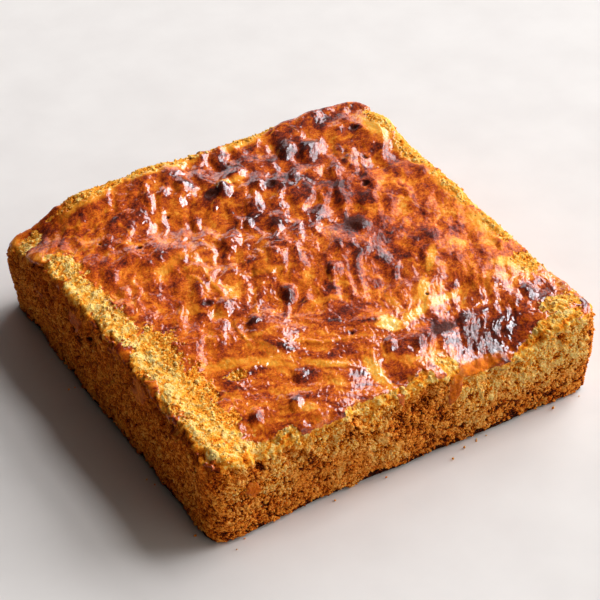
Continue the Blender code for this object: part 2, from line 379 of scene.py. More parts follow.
def describe(p, n):
    """For base points p (mm) with outward normals n: how far the surface
    stands out (mm) and what it is made of."""
    x, y, z = p[:, 0], p[:, 1], p[:, 2]
    up = n[:, 2]
    half = HALF * MM
    top = up > 0.7
    wall = up < 0.3
    warp = np.stack([perlin(p, 7.0, 3), perlin(p, 7.0, 4), perlin(p, 7.0, 6)], 1) * 1.5
    fine_warp = np.stack([perlin(p, 2.2, 13), perlin(p, 2.2, 14), perlin(p, 2.2, 16)], 1) * 0.55
    q = p + warp
    qq = q + fine_warp
    wob = fbm(p, 3.4, 3, 21)
    rag = fbm(p, 2.4, 4, 22, gain=0.75)
    slow = perlin(p, 11.0, 25)

    on_top = smooth(0.15, 0.75, up + 0.28 * slow + 0.42 * rag + 0.20 * wob)
    edge = half - np.maximum(np.abs(x), np.abs(y))
    near_face = smooth(0.5, 0.9, -n[:, 1])
    left_face = smooth(0.5, 0.9, -n[:, 0])
    far_sides = smooth(0.5, 0.9, np.maximum(n[:, 0], n[:, 1]))

    # where the glaze never reached: crumb at the left and near rims
    bare = spots(x, y, BARE, 0.62, 0.50 * wob + 0.60 * rag)
    drip = spots(x, z, ((20.0, 27.0, 7.5, 2.2, 18, 1.0), (13.2, 21.4, 1.9, 4.8, -14, 0.9),
                        (-50.6, 16.0, 2.0, 2.9, 20, 0.75), (-4.6, 27.0, 1.3, 4.5, 8, 0.6)),
                 0.60, 0.70 * rag + 0.3 * wob) * near_face
    skin = spots(y, z, ((15.0, 24.0, 4.5, 4.0, 0, 0.8), (-23.5, 26.5, 5.0, 4.0, 0, 0.9),
                        (-9.0, 29.0, 5.0, 2.5, 0, 0.6), (38.0, 20.0, 5.0, 3.5, 0, 0.6)),
                 0.5, 0.5 * rag + 0.3 * wob) * left_face
    glaze = on_top * (1 - np.clip(bare * 1.2, 0, 1))
    glaze = glaze - 0.55 * (1 - smooth(0.0, 3.5, edge)) * np.clip(0.55 + 0.9 * rag, 0, 1)
    lap = spots(x, y, LAPS, 0.7, 0.45 * wob + 0.75 * rag) * smooth(0.0, 0.5, up)
    glaze = glaze + 0.75 * lap
    glaze = np.maximum(glaze, np.maximum(drip, 0.7 * skin))
    island = fbm(p, 1.7, 3, 23, gain=0.8)
    glaze = smooth(0.32, 0.60, glaze + 0.16 * rag + 0.10 * wob + 0.34 * island)

    # glazed skin: rolling lumps, blisters, folds and fine wrinkles
    flow = smooth(-19, -31, y + 0.5 * slow) * (1 - smooth(4, 16, x))
    lump = (1 - flow) * perlin(stretched(q, BLISTER_TURN, 2.5), 3.0, 32) \
        + flow * perlin(stretched(q, FLOW_TURN, 2.4), 3.2, 36)
    lump = unit(lump, top)
    far_part = smooth(-4, 22, y) * smooth(-34, -12, x)
    broad = unit(perlin(stretched(q, BLISTER_TURN, 2.0), 4.8, 37), top)
    lump = lump * (1 - 0.60 * far_part) + 1.25 * far_part * broad
    lump = lump * (1 - 0.28 * smooth(22, 34, x) * smooth(-38, -28, y))
    roll = unit(perlin(q, 9.0, 31), top)
    hump = np.zeros_like(x)
    for bx, by, a, b, rise in BLISTERS:
        turn = BLISTER_TURN
        dx = q[:, 0] * 0.40 + x * 0.60 + 0.5 * fine_warp[:, 0] - bx
        dy = q[:, 1] * 0.40 + y * 0.60 + 0.5 * fine_warp[:, 1] - by
        u = (dx * math.cos(turn) + dy * math.sin(turn)) / a
        v = (-dx * math.sin(turn) + dy * math.cos(turn)) / b
        hump = np.maximum(hump, rise * np.clip(1 - u * u - v * v, 0, 1) ** 1.5)
    hump *= on_top
    fold, fold_near = folds(x + 0.5 * warp[:, 0] * 0.4, y + 0.5 * warp[:, 1] * 0.4, FOLDS)
    fold, fold_near = fold * on_top, fold_near * on_top
    wrinkle = ridged(stretched(qq, BLISTER_TURN, 2.8), 1.30, 42) ** 2
    comb = ridged(stretched(q, BLISTER_TURN, 3.6), 2.1, 44) \
        * spots(x, y, ((28.0, -54.0, 14.0, 9.0, 0, 1.0), (49.0, -49.0, 8.0, 6.0, 0, 0.8)), 0.5, 0.2 * wob) * on_top
    wrinkle2 = ridged(qq, 0.95, 43) ** 2
    small = perlin(qq, 1.9, 35)
    burst = np.zeros_like(x)
    burst_hole_shade = np.zeros_like(x)
    for bx, by, r, depth in BURSTS:
        d = np.hypot(x + 0.5 * fine_warp[:, 0] - bx, y + 0.8 * fine_warp[:, 1] - by) / r
        burst = np.maximum(burst, depth * np.exp(-d ** 4))
        burst_hole_shade = np.maximum(burst_hole_shade, np.exp(-(d / 1.05) ** 4))
    burst, burst_hole_shade = burst * on_top, burst_hole_shade * on_top
    skin_relief = (0.16 * roll + (0.155 - 0.095 * flow + 0.095 * far_part) * lump + 1.12 * hump + 0.55 * fold + 0.040 * small
                   - (0.120 - 0.065 * far_part) * wrinkle - 0.030 * wrinkle2 + 0.14 * comb - burst)

    # crumb: clumps, grains in two sizes, and torn openings
    rim_wear = np.exp(-((edge - 1.0) / 4.0) ** 2) * smooth(16, 24, z) * smooth(-0.1, 0.35, up + 0.2 * slow)
    rim_wear = np.maximum(rim_wear, 0.8 * on_top * smooth(14, 9, edge)) * (1 - 0.5 * smooth(52, 60, np.maximum(x, y)))
    c0, c0b, t0 = worley(p + 1.1 * fine_warp, 3.6, 50)
    c1, c1b, t1 = worley(p + 1.3 * fine_warp, 2.1, 51)
    c2, c2b, t2 = worley(p + 0.45 * fine_warp, 1.12, 52)
    c3, c3b, t3 = worley(p + 0.2 * fine_warp, 0.76, 57)
    knob = smooth(0.0, 0.35, c0b - c0) * (0.2 + 0.8 * np.clip(1 - c0 * c0, 0, 1)) * (0.2 + 1.0 * t0)
    knob = 0.45 * knob + 0.60 * np.clip(0.45 + 1.5 * fbm(qq, 3.4, 3, 63, gain=0.6), 0, 1)
    clump = smooth(0.0, 0.35, c1b - c1) * (0.3 + 0.7 * np.clip(1 - c1 * c1, 0, 1)) * (0.35 + 0.8 * t1)
    grain = smooth(0.0, 0.30, c2b - c2) * (0.3 + 0.7 * np.clip(1 - c2 * c2, 0, 1)) * (0.35 + 0.8 * t2)
    grit = smooth(0.0, 0.40, c3b - c3) * (0.4 + 0.8 * t3)
    torn = smooth(0.80, 0.97, ridged(qq, 3.2, 53)) * smooth(-0.05, 0.40, perlin(p, 4.2, 55))
    slit = smooth(0.80, 0.94, ridged((p + 1.5 * fine_warp) * np.array([0.42, 0.42, 1.0]), 2.6, 58)) \
        * smooth(0.05, 0.45, perlin(p * np.array([0.7, 0.7, 1.0]), 4.6, 59)) * (1 - on_top)
    torn = np.maximum(torn, slit * (1 - 0.7 * left_face))
    loaf = fbm(p, 6.0, 3, 54, gain=0.6)
    streak = fbm(p * np.array([1.0, 1.0, 0.24]), 2.3, 4, 56, gain=0.75)
    crumb_relief = (0.60 * loaf + rim_wear * (0.78 * knob - 0.34) + (0.20 + 0.16 * rim_wear) * clump
                    + (0.24 + 0.07 * near_face - 0.12 * rim_wear) * grain
                    + (0.26 + 0.08 * near_face - 0.20 * rim_wear) * grit
                    - 0.75 * torn * (1 - 0.6 * rim_wear) - 0.45
                    + 0.20 * streak * np.maximum(left_face, far_sides)
                    - 0.4 * rim_wear * np.clip(0.3 + 1.4 * slow, 0, 1))

    amber = spots(x, y, ((21.5, -61.8, 8.5, 2.2, 6, 1.0),), 0.5, 0.5 * rag)
    smear = np.maximum(np.maximum(np.clip(drip, 0, 1), 0.6 * skin), 1.1 * amber) * glaze
    film = np.maximum(np.maximum(drip, 0.8 * skin) * (1 - on_top), 0.55 * lap * smooth(5.0, 1.5, edge))
    relief = glaze * (skin_relief - 0.08 + 0.80 * film * (crumb_relief + 0.2)) + (1 - glaze) * crumb_relief
    relief = relief + 0.7 * smooth(54, 60, x) * smooth(-2, 10, y) * smooth(54, 46, y) * smooth(14, 22, z)
    chip = smooth(0.06, 0.42, perlin(p, 5.5, 64)) * np.exp(-(edge / 3.6) ** 2) * smooth(15, 22, z) \
        * (1 - smooth(50, 58, np.maximum(x, y)))
    relief = relief - 1.25 * chip * (1 - 0.65 * glaze)
    relief = relief - 1.5 * spots(x, z, ((-2.2, 29.4, 1.3, 1.3, 0, 1.0),), 0.4) * near_face

    # under the foot the side is torn in, and only some of it meets the table
    gap_height = np.clip(1.55 + 4.2 * fbm(p * np.array([1, 1, 0.0]), 4.6, 3, 61, gain=0.75), 0.0, 3.9)
    undercut_and_foot_shade = smooth(0.0, 0.5, gap_height - z) * (z < 4)
    relief = relief * smooth(-0.98, -0.35, up) - 0.38 * undercut_and_foot_shade

    # how brown the skin is
    region = (0.485 + 0.085 * smooth(-14, -30, x) * smooth(-30, -5, y) + 0.05 * flow + 0.11 * smooth(-8, 34, y) * smooth(-34, 12, x)
              - 0.05 * smooth(36, 60, x) - 0.03 * smooth(-10, -55, x)
              + 0.06 * smooth(30, 10, np.hypot(x - 26, y + 8))
              + 0.035 * smooth(28, 10, np.hypot(x - 6, y + 12)))
    t1n = unit(fbm(stretched(qq, BLISTER_TURN, 1.35), 5.6, 5, 71, gain=0.80), top)
    t2n = unit(fbm(stretched(qq, FLOW_TURN, 2.2), 4.6, 5, 171, gain=0.78), top)
    mottle = (1 - flow) * t1n + flow * t2n
    calm = smooth(-12, -32, x) * smooth(-34, -12, y)
    tone = region + (0.135 - 0.040 * calm) * mottle + 0.070 * lump + 0.20 * (1 - 0.7 * calm) * hump
    dark = spots(x, y, DARKS, 0.50, 0.34 * wob + 0.30 * rag) * on_top
    gold = spots(x, y, GOLDS, 0.60, 0.50 * wob + 0.45 * rag) * on_top
    vein = smooth(0.70, 0.96, ridged(qq, 8.0, 73)) * smooth(0.0, 0.5, perlin(p, 16.0, 74) + 0.25)
    gold = np.maximum(gold, 0.50 * vein)
    gold = np.maximum(gold, 0.60 * fold_near)
    gold = np.clip(gold * (1 - np.clip(dark * 1.6, 0, 1)), 0, 1.3)
    tone = tone + 0.38 * dark - 0.26 * gold
    # the burst holes take the burnt colour: painted shade in the holes
    burnt_and_hole_shade = np.maximum(smooth(0.66, 1.08, dark + 0.14 * rag), burst_hole_shade)

    # how toasted the crumb is: darker near the base and on the tin side; it also carries painted shade where the rim
    # turns left and in the torn-in foot band
    sided = 1 - on_top
    toast_and_shade = (0.60 + 0.12 * near_face * smooth(-20, -36, x)) * sided + 0.26 * (1 - smooth(2.0, 14.0, z)) * sided
    toast_and_shade = toast_and_shade + 0.19 * unit(perlin(q, 7.0, 81), wall) * (1 - 0.4 * on_top) + 0.20 * rag
    toast_and_shade = toast_and_shade - 0.08 * near_face * spots(x, z, ((-17.0, 6.5, 13.0, 6.0, 0, 1.0),), 0.5, 0.3 * rag)
    toast_and_shade = toast_and_shade - near_face * (0.60 * smooth(6, 34, x) * smooth(7, 19, z)
                                 + 0.16 * smooth(2, -12, x) * smooth(12, 24, z))
    # the torn-in foot band darkened: partly toasted base edge, partly painted shadow under the overhang
    toast_and_shade = toast_and_shade + 1.2 * undercut_and_foot_shade
    toast_and_shade = toast_and_shade + 0.34 * near_face * spots(x, z, ((4.0, 20.0, 10.0, 6.0, 0, 1.0),), 0.5, 0.3 * rag)
    toast_and_shade = toast_and_shade + 0.95 * near_face * smooth(6.5, 2.5, half - x)
    toast_and_shade = toast_and_shade - 0.45 * rim_wear * (1 - smooth(0.35, 0.8, left_face))
    left_turned_shade = smooth(0.10, 0.60, -n[:, 0])         # where the rim turns over towards the left, away from the lamps: darkened there as painted shade
    toast_and_shade = toast_and_shade + 0.75 * left_turned_shade * (1 - 0.4 * left_face) + 0.44 * left_face * streak + far_sides * 0.12 * streak
    corner = smooth(7.0, 2.5, half - np.abs(x)) * smooth(7.0, 2.5, half - np.abs(y))
    toast_and_shade = toast_and_shade + 0.65 * corner * sided * (1 - ((x < 0) & (y < 0)) * 0.8)
    # how strongly the fine grain of the crumb shows
    shade = 0.95 + (0.75 + 0.25 * smooth(-10, 14, x)) * near_face * (1 - rim_wear) + 0.35 * far_sides * (1 - rim_wear) - 0.42 * rim_wear
    rough_out = unit(0.22 * clump + 0.42 * grain + 0.42 * grit, wall)
    sponge = unit(fbm(qq, 2.6, 3, 62, gain=0.7), wall)
    cluster = unit(fbm(qq, 1.7, 2, 65, gain=0.6), wall)
    big_out = unit(0.40 * knob + 0.22 * clump + 0.20 * grain + 0.18 * grit + 0.35 * sponge * 0.3, wall)
    # paler on raised crumb, darker in the gaps and hollows between grains: painted shade, mixed with real streaks and
    # blotches of tone
    wall_gap_shade_and_tone = (0.46 - (0.21 + 0.15 * near_face) * rough_out - 0.12 * np.clip(loaf, -1, 1)
                + (0.05 + 0.17 * near_face + 0.07 * near_face * smooth(0, 20, x)) * sponge - 0.30 * streak * left_face
                - 0.33 * near_face * smooth(4, 30, x) * smooth(3, 19, z)
                + (0.05 + 0.07 * smooth(0, 16, x)) * near_face * cluster
                + 0.30 * near_face * smooth(6.0, 2.5, half - x)
                - 0.25 * near_face * spots(x, z, ((-17.0, 8.0, 15.0, 8.0, 0, 1.0),), 0.5, 0.3 * rag))
    # the rim darker where it turns to the left and where it turns to the near side, away from the lamps: painted
    # shade
    rim_gap_shade_and_tone = 0.13 - 0.17 * big_out + 0.42 * left_turned_shade + 0.17 * smooth(0.05, 0.60, -n[:, 1]) - 0.08 * sponge
    gap_shade_and_tone = wall_gap_shade_and_tone + rim_wear * (rim_gap_shade_and_tone - wall_gap_shade_and_tone)
    # torn openings and the torn-in foot band pushed to the dark end: painted shade in the openings; at the foot
    # partly toasted base edge, partly painted shadow
    gap_shade_and_tone = np.clip(gap_shade_and_tone + 0.55 * torn * (1 - 0.5 * rim_wear) + 1.2 * undercut_and_foot_shade, 0, 1.25)
    gloss = (0.55 + 0.45 * smooth(-50, -26, x)) * (0.75 + 0.25 * smooth(-0.3, 0.3, slow))
    gloss = gloss * (1 - 0.86 * smooth(16, 34, x + 0.35 * y + 6 * slow) * smooth(-42, -30, y)
                     * (1 - 0.55 * smooth(22, 34, y)))
    gloss = gloss * (1 - 0.66 * smooth(30, 10, np.hypot(x - 8, y + 16)))
    gloss = gloss * (1 + 0.40 * spots(x, y, ((28.0, -56.0, 13.0, 7.5, 0, 1.0),), 0.4) + 0.35 * far_part)
    gloss = gloss * (1 - 0.8 * spots(x, y, ((20.0, -46.5, 7.0, 3.4, 0, 1.0), (14.0, -50.0, 4.0, 4.0, 0, 0.6)), 0.5, 0.3 * rag))
    gloss = np.clip(gloss * (1 - 0.93 * burnt_and_hole_shade) * (1 - 0.93 * smear) * (1 - 0.8 * film), 0, 1.4)
    values = dict(glaze=glaze, tone=np.clip(tone, 0, 1), gold=gold, burnt_and_hole_shade=burnt_and_hole_shade,
                  toast_and_shade=np.clip(toast_and_shade, 0, 1), gap_shade_and_tone=gap_shade_and_tone, shade=shade, smear=smear, gloss=gloss)
    return relief, values, undercut_and_foot_shade


# ------------------------------------------------------------------ the mesh
def base_points():
    """Rows of the slab from the middle of the top, over the rim, down the
    sides and in under the base, and how far along each row lies."""
    gh = HALF - RIM_RADIUS
    t = np.linspace(-1, 1, N + 1)
    gx, gy = np.meshgrid(t, t, indexing="xy")
    x, y = rounded_square(gx.ravel(), gy.ravel(), (CORNER_RADIUS - RIM_RADIUS) / gh)
    x, y = x * gh, y * gh
    top = np.stack([x, y, top_height(x, y)], 1)
    index = np.arange((N + 1) ** 2).reshape(N + 1, N + 1)
    # the rim loop, counter-clockwise seen from above
    loop = np.concatenate([index[0, :-1], index[:-1, -1], index[-1, :0:-1], index[:0:-1, 0]])
    rim = top[loop]
    inner = gh - (CORNER_RADIUS - RIM_RADIUS)
    cx = np.clip(rim[:, 0], -inner, inner)
    cy = np.clip(rim[:, 1], -inner, inner)
    out = np.stack([rim[:, 0] - cx, rim[:, 1] - cy], 1)
    out /= np.linalg.norm(out, axis=1, keepdims=True)
    rows, reach = [], []
    ez = rim[:, 2]
    for k in range(RIM_ROWS):
        s = (k + 1) / RIM_ROWS
        a = s * math.pi / 2
        z = ez - RIM_RADIUS * (1 - math.cos(a))
        d = RIM_RADIUS * math.sin(a) + wall_offset(rim[:, 0], rim[:, 1], z, 0.0) * s
        rows.append(np.stack([rim[:, 0] + out[:, 0] * d, rim[:, 1] + out[:, 1] * d, z], 1))
        reach.append(RIM_RADIUS * a)
    for k in range(WALL_ROWS):
        s = (k + 1) / WALL_ROWS
        z = (ez - RIM_RADIUS) * (1 - s) + BASE_ROUND * s
        d = RIM_RADIUS + wall_offset(rim[:, 0], rim[:, 1], z, s)
        rows.append(np.stack([rim[:, 0] + out[:, 0] * d, rim[:, 1] + out[:, 1] * d, z], 1))
        reach.append(reach[RIM_ROWS - 1] + 0.0265 * s)
    last = rows[-1]
    for k in range(FOOT_ROWS):
        a = (k + 1) / FOOT_ROWS * math.pi / 2
        d = -BASE_ROUND * (1 - math.cos(a))
        z = BASE_ROUND * (1 - math.sin(a))
        rows.append(np.stack([last[:, 0] + out[:, 0] * d, last[:, 1] + out[:, 1] * d,
                              np.full(len(rim), z)], 1))
        reach.append(reach[-1] + 0.0006)
    foot = rows[-1]
    for s in (0.94, 0.80, 0.40)[:BASE_ROWS]:
        rows.append(np.stack([foot[:, 0] * s, foot[:, 1] * s, np.zeros(len(rim))], 1))
        reach.append(reach[-1] + 0.0012)
    return top, index, loop, rows, reach, out


def vertex_normals(co, quads):
    a, b, c, d = (co[quads[:, k]] for k in range(4))
    fn = np.cross(c - a, d - b)
    out = np.zeros_like(co)
    for k in range(4):
        for axis in range(3):
            out[:, axis] += np.bincount(quads[:, k], fn[:, axis], len(co))
    return out / np.maximum(np.linalg.norm(out, axis=1, keepdims=True), 1e-20)


def open_edges(quads, tris):
    """Directed edges that no other face of the set shares."""
    pairs = [np.stack([quads[:, k], quads[:, (k + 1) % 4]], 1) for k in range(4)]
    pairs += [np.stack([tris[:, k], tris[:, (k + 1) % 3]], 1) for k in range(3)]
    e = np.concatenate(pairs).astype(np.int64)
    big = np.int64(1) << 32
    forward, backward = e[:, 0] * big + e[:, 1], e[:, 1] * big + e[:, 0]
    return e[~np.isin(forward, backward)]


def new_mesh(name, co, quads, tris, uv=None):
    """A mesh from arrays of corners; uv holds one place per corner."""
    mesh = bpy.data.meshes.new(name)
    mesh.vertices.add(len(co))
    mesh.vertices.foreach_set("co", co.astype(np.float32).ravel())
    corners = np.concatenate([quads.ravel(), tris.ravel()]).astype(np.int32)
    mesh.loops.add(len(corners))
    mesh.loops.foreach_set("vertex_index", corners)
    starts = np.concatenate([np.arange(len(quads)) * 4, len(quads) * 4 + np.arange(len(tris)) * 3])
    mesh.polygons.add(len(starts))
    mesh.polygons.foreach_set("loop_start", starts.astype(np.int32))
    mesh.update(calc_edges=True)
    if uv is not None:
        layer = mesh.uv_layers.new(name="OFBake")
        layer.uv.foreach_set("vector", uv.astype(np.float32).ravel())
    return mesh


def make_piece(name, co, normals, quads, quad_uv, tris, tri_uv, inside, values, material):
    """One closed piece of the cake's skin, shut behind by a curtain that
    drops away from its rim and a fan to a point inside the cake."""
    rim = open_edges(quads, tris)
    inner, at = np.unique(rim, return_inverse=True)
    at = at.reshape(rim.shape) + len(co)
    hung = co[inner] + 0.15 * (np.array(inside) - co[inner])
    hung[:, 2] = np.maximum(hung[:, 2] - 0.006, 0.002)
    middle = len(co) + len(inner)
    extra = len(inner) + 1
    co = np.concatenate([co, hung, [inside]])
    normals = np.concatenate([normals, np.tile([0.0, 0.0, 1.0], (extra, 1))])
    fan = np.concatenate([
        np.stack([rim[:, 1], rim[:, 0], at[:, 0]], 1),
        np.stack([rim[:, 1], at[:, 0], at[:, 1]], 1),
        np.stack([at[:, 1], at[:, 0], np.full(len(rim), middle)], 1)])
    fan_uv = np.tile(np.array([[0.9930, 0.9930], [0.9985, 0.9930], [0.9960, 0.9985]]), (len(fan), 1, 1))
    tris, tri_uv = np.concatenate([tris, fan]), np.concatenate([tri_uv, fan_uv])
    used = np.unique(np.concatenate([quads.ravel(), tris.ravel()]))
    where = np.full(len(co), -1, np.int64)
    where[used] = np.arange(len(used))
    mesh = new_mesh(name, co[used], where[quads], where[tris],
                    np.concatenate([quad_uv.reshape(-1, 2), tri_uv.reshape(-1, 2)]))
    for key, arr in values.items():
        attr = mesh.attributes.new(key, "FLOAT", "POINT")
        attr.data.foreach_set("value", np.append(arr, np.full(extra, 0.5))[used].astype(np.float32))
    mesh.materials.append(material)
    mesh.shade_smooth()
    mesh.normals_split_custom_set_from_vertices(normals[used].tolist())
    ob = bpy.data.objects.new(name, mesh)
    bpy.context.scene.collection.objects.link(ob)
    return ob


def build_cake(material):
    top, index, loop, rows, reach, out = base_points()
    co = [top]
    rings = [loop]
    count = len(top)
    for r in rows:
        rings.append(np.arange(count, count + len(r)))
        co.append(r)
        count += len(r)
    co = np.concatenate(co + [[[0.0, 0.0, 0.0]]])
    base_middle = count
    rings = np.array(rings)                       # (rows, columns)
    ahead = np.roll(rings, -1, axis=1)
    grid = np.stack([index[:-1, :-1], index[:-1, 1:], index[1:, 1:], index[1:, :-1]], 2)
    band = np.stack([rings[:-1], rings[1:], ahead[1:], ahead[:-1]], 2)
    under = np.stack([ahead[-1], rings[-1], np.full(4 * N, base_middle)], 1)
    every = np.concatenate([grid.reshape(-1, 4), band.reshape(-1, 4)])
    normals = vertex_normals(co, every)
    normals[base_middle] = (0, 0, -1)

    relief, values, undercut_and_foot_shade = describe(co * MM, normals)
    ways = normals.copy()
    low = co[:, 2] < 0.0022                       # the foot is torn in, not up
    ways[low, 2] = 0.0
    ways /= np.maximum(np.linalg.norm(ways, axis=1, keepdims=True), 1e-9)
    inner_base = np.concatenate([rings[k] for k in range(len(rings) - BASE_ROWS, len(rings))] + [[base_middle]])
    relief[inner_base] = 0
    # the foot follows the row above it, so that the base stays flat
    foot = rings[len(rings) - BASE_ROWS - 1]
    relief[foot] = np.minimum(relief[rings[len(rings) - BASE_ROWS - 2]], 0.1)
    flat_out = np.concatenate([out, np.zeros((len(out), 1))], 1)
    ways[foot] = flat_out
    moved = co + ways * (relief / MM)[:, None]
    moved[:, 2] = np.maximum(moved[:, 2], 0.0)
    moved[inner_base, 2] = 0.0
    normals = vertex_normals(moved, every)
    normals[base_middle] = (0, 0, -1)

    # the map: plan of the top with the rim laid flat, and the sides unrolled
    span = HALF - RIM_RADIUS + RIM_RADIUS * math.pi / 2 + 0.0004
    flat = top[:, :2].copy()
    rim = top[loop][:, :2]
    layers = [rim] + [rim + out * d for d in reach[:RIM_ROWS]]
    layers = np.array(layers)                     # (rim rows + 1, columns, 2)
    layers_ahead = np.roll(layers, -1, axis=1)
    lay_uv = np.stack([layers[:-1], layers[1:], layers_ahead[1:], layers_ahead[:-1]], 2)
    grid_uv = flat[grid.reshape(-1, 4)].reshape(N, N, 4, 2)
    columns = np.arange(4 * N)
    left_columns = (columns < N // 2) | (columns >= 5 * N // 2)
    pieces = []
    for name, cells, cols, start in (
            ("cake_top_left", slice(0, N // 2), left_columns, -span),
            ("cake_top_right", slice(N // 2, N), ~left_columns, 0.0)):
        quads = np.concatenate([grid[:, cells].reshape(-1, 4), band[:RIM_ROWS, cols].reshape(-1, 4)])
        uv = np.concatenate([grid_uv[:, cells].reshape(-1, 4, 2), lay_uv[:, cols].reshape(-1, 4, 2)])
        uv = np.stack([0.005 + 0.985 * (uv[..., 0] - start) / span,
                       0.005 + 0.985 * (uv[..., 1] + span) / (2 * span)], -1)
        inside = (-0.02 if start < 0 else 0.02, 0.0, 0.016)
        pieces.append(make_piece(name, moved, normals, quads, uv, np.zeros((0, 3), int),
                                 np.zeros((0, 3, 2)), inside, values, material))
    depth = np.array([reach[RIM_ROWS - 1]] + reach[RIM_ROWS:] + [reach[-1] + 0.0012])
    depth = (depth - depth[0]) / (depth[-1] - depth[0])
    strip = math.ceil(2 * N / 3)
    for name, first, inside in (("cake_sides_near_right", 0, (0.012, -0.012, 0.012)),
                                ("cake_sides_far_left", 2 * N, (-0.012, 0.012, 0.012))):
        cols = np.arange(first, first + 2 * N)
        quads = band[RIM_ROWS:, cols]
        local = cols - first
        row_of, step = local // strip, local % strip
        u0, u1 = 0.01 + 0.97 * step / strip, 0.01 + 0.97 * (step + 1) / strip
        v0 = 0.01 + (row_of[None, :] + 0.97 * depth[:-2, None]) / 3 * 0.98
        v1 = 0.01 + (row_of[None, :] + 0.97 * depth[1:-1, None]) / 3 * 0.98
        u0, u1 = (np.broadcast_to(k, v0.shape) for k in (u0, u1))
        uv = np.stack([np.stack([u0, v0], -1), np.stack([u0, v1], -1),
                       np.stack([u1, v1], -1), np.stack([u1, v0], -1)], 2)
        v2 = v1[-1]
        v3 = 0.01 + (row_of + 0.97) / 3 * 0.98
        tri_uv = np.stack([np.stack([u1[0], v2], -1), np.stack([u0[0], v2], -1),
                           np.stack([(u0[0] + u1[0]) / 2, v3], -1)], 1)
        pieces.append(make_piece(name, moved, normals, quads.reshape(-1, 4), uv.reshape(-1, 4, 2),
                                 under[cols], tri_uv, inside, values, material))
    return pieces, moved, normals, values, rings


# ------------------------------------------------------------------ loose and half loose grains
def twenty_faces():
    g = (1 + math.sqrt(5)) / 2
    v = np.array([(-1, g, 0), (1, g, 0), (-1, -g, 0), (1, -g, 0), (0, -1, g), (0, 1, g),
                  (0, -1, -g), (0, 1, -g), (g, 0, -1), (g, 0, 1), (-g, 0, -1), (-g, 0, 1)], float)
    v /= np.linalg.norm(v[0])
    f = np.array([(0, 11, 5), (0, 5, 1), (0, 1, 7), (0, 7, 10), (0, 10, 11), (1, 5, 9), (5, 11, 4),
                  (11, 10, 2), (10, 7, 6), (7, 1, 8), (3, 9, 4), (3, 4, 2), (3, 2, 6), (3, 6, 8),
                  (3, 8, 9), (4, 9, 5), (2, 4, 11), (6, 2, 10), (8, 6, 7), (9, 8, 1)])
    return v, f


def eight_faces():
    v = np.array([(1, 0, 0), (0, 1, 0), (-1, 0, 0), (0, -1, 0), (0, 0, 1), (0, 0, -1)], float)
    f = np.array([(0, 1, 4), (1, 2, 4), (2, 3, 4), (3, 0, 4), (1, 0, 5), (2, 1, 5), (3, 2, 5), (0, 3, 5)])
    return v, f


def lumps(shape, centres, outward, radii, toast_and_shade, gap_shade_and_tone, rng, floor_at):
    """Uneven lumps, each a copy of one closed shape, turned and stretched."""
    v, f = shape
    m, k = len(centres), len(v)
    body = v[None] * rng.uniform(0.62, 1.18, (m, k, 1)) * rng.uniform(0.62, 1.30, (m, 1, 3))
    turn = np.linalg.qr(rng.normal(size=(m, 3, 3)))[0]
    turn[np.linalg.det(turn) < 0, :, 0] *= -1
    body = np.einsum("mij,mkj->mki", turn, body) * radii[:, None, None]
    facing = np.einsum("mki,mi->mk", body, outward) / radii[:, None]
    co = centres[:, None, :] + body
    if floor_at is not None:
        co[..., 2] += (floor_at - co[..., 2].min(axis=1))[:, None]
    tris = (f[None] + k * np.arange(m)[:, None, None]).reshape(-1, 3)
    own = rng.uniform(-1, 1, (m, 1))
    nothing = np.zeros((m, k))
    fields = dict(
        glaze=nothing, tone=nothing + 0.4, gold=nothing, burnt_and_hole_shade=nothing, smear=nothing, gloss=nothing,
        toast_and_shade=np.clip(toast_and_shade[:, None] + 0.26 * own + nothing, 0, 1),
        # each grain darker on its side turned in towards the cake: painted shade
        gap_shade_and_tone=np.clip(gap_shade_and_tone[:, None] - 0.02 - 0.12 * facing + 0.22 * rng.uniform(-1, 1, (m, 1)), 0, 1),
        shade=nothing + 0.8)
    return co.reshape(-1, 3), tris, {key: arr.ravel() for key, arr in fields.items()}


def grains(name, centres, outward, radii, toast_and_shade, gap_shade_and_tone, seed, material, coarse, floor_at=None):
    """Many lumps of crumb as one mesh; those above the coarse radius have
    twenty faces, the others eight."""
    rng = np.random.default_rng(seed)
    big = radii > coarse
    parts = []
    for shape, of in ((twenty_faces(), big), (eight_faces(), ~big)):
        if of.any():
            parts.append(lumps(shape, centres[of], outward[of], radii[of], toast_and_shade[of], gap_shade_and_tone[of], rng, floor_at))
    shift, tris = 0, []
    for co, f, _ in parts:
        tris.append(f + shift)
        shift += len(co)
    mesh = new_mesh(name, np.concatenate([co for co, _, _ in parts]), np.zeros((0, 4), int),
                    np.concatenate(tris))
    for key in parts[0][2]:
        attr = mesh.attributes.new(key, "FLOAT", "POINT")
        attr.data.foreach_set("value", np.concatenate([part[2][key] for part in parts]).astype(np.float32))
    mesh.materials.append(material)
    mesh.shade_smooth()
    ob = bpy.data.objects.new(name, mesh)
    bpy.context.scene.collection.objects.link(ob)
    return ob


